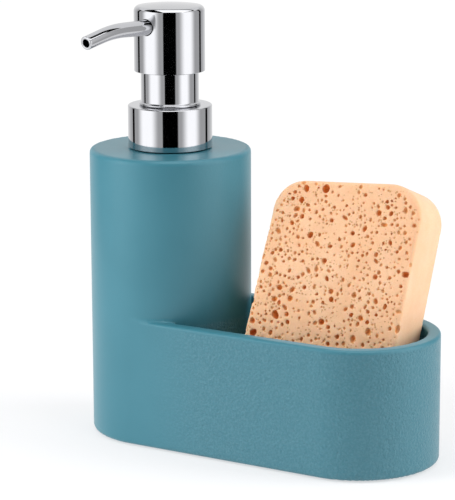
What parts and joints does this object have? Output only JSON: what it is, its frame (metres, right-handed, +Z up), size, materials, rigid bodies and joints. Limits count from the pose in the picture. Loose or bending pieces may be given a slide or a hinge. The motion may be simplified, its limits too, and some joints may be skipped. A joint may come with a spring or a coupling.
{
  "type": "countertop liquid dispenser with sponge holder",
  "caption": "Ceramic liquid dispenser with a press pump, a screw collar and a side trough that holds a sponge.",
  "frame": {"origin": "the pump's axis in the plane that the object stands on", "axes": "+Z up along the pump's axis, +X along the trough towards its round end, -Y the front"},
  "size_m": [0.1581, 0.0886, 0.183],
  "materials": {
    "ceramic": "matte teal glaze, finely textured on the trough",
    "chrome": "mirror polished",
    "neck_plastic": "moulded polypropylene",
    "pump_plastic": "moulded polypropylene",
    "tube_plastic": "translucent polyethylene",
    "steel": "stainless",
    "gasket_foam": "closed-cell foam",
    "pad_foam": "closed-cell foam",
    "cellulose": "open-pored cellulose sponge"
  },
  "bodies": {
    "root": {"ceramic_body": "ceramic", "base_pad": "pad_foam", "neck_insert": "neck_plastic"},
    "pump": {"pump_housing": "pump_plastic", "housing_cap": "pump_plastic", "dip_tube": "tube_plastic", "neck_gasket": "gasket_foam", "ball_cage": "pump_plastic", "return_spring": "steel"},
    "inlet_ball": {"inlet_ball": "steel"},
    "closure": {"closure_cap": "neck_plastic", "collar_shell": "chrome", "sleeve": "chrome"},
    "stem": {"stem": "pump_plastic", "piston_seat": "pump_plastic"},
    "piston": {"piston": "tube_plastic"},
    "head": {"actuator_core": "pump_plastic", "head_shell": "chrome", "spout_tube": "chrome"},
    "sponge": {"sponge": "cellulose"}
  },
  "joints": [
    {"name": "pump_rise", "type": "slide", "parent": "root", "child": "pump", "axis": [0, 0, 1], "range_m": [0, 0.00635]},
    {"name": "collar_turn", "type": "hinge", "parent": "pump", "child": "closure", "pos_m": [0, 0, 0.13], "axis": [0, 0, 1], "range_deg": [0, 540]},
    {"name": "head_press", "type": "slide", "parent": "pump", "child": "stem", "axis": [0, 0, -1], "range_m": [0, 0.0115], "stiffness_N_per_m": 600, "springref_m": -0.006, "deforming": ["return_spring"]},
    {"name": "head_turn", "type": "hinge", "parent": "stem", "child": "head", "pos_m": [0, 0, 0.17], "axis": [0, 0, 1], "continuous": true},
    {"name": "piston_slip", "type": "slide", "parent": "stem", "child": "piston", "axis": [0, 0, 1], "range_m": [0, 0.001]},
    {"name": "ball_lift", "type": "slide", "parent": "pump", "child": "inlet_ball", "axis": [0, 0, 1], "range_m": [0, 0.0015]},
    {"name": "sponge_lift", "type": "slide", "parent": "root", "child": "sponge", "axis": [0.0495, 0.3282, 0.9433], "range_m": [0, 0.052]}
  ],
  "couplings": [
    {"joint": "collar_turn", "follows": "pump_rise", "rad_per_m": 1484.3}
  ]
}
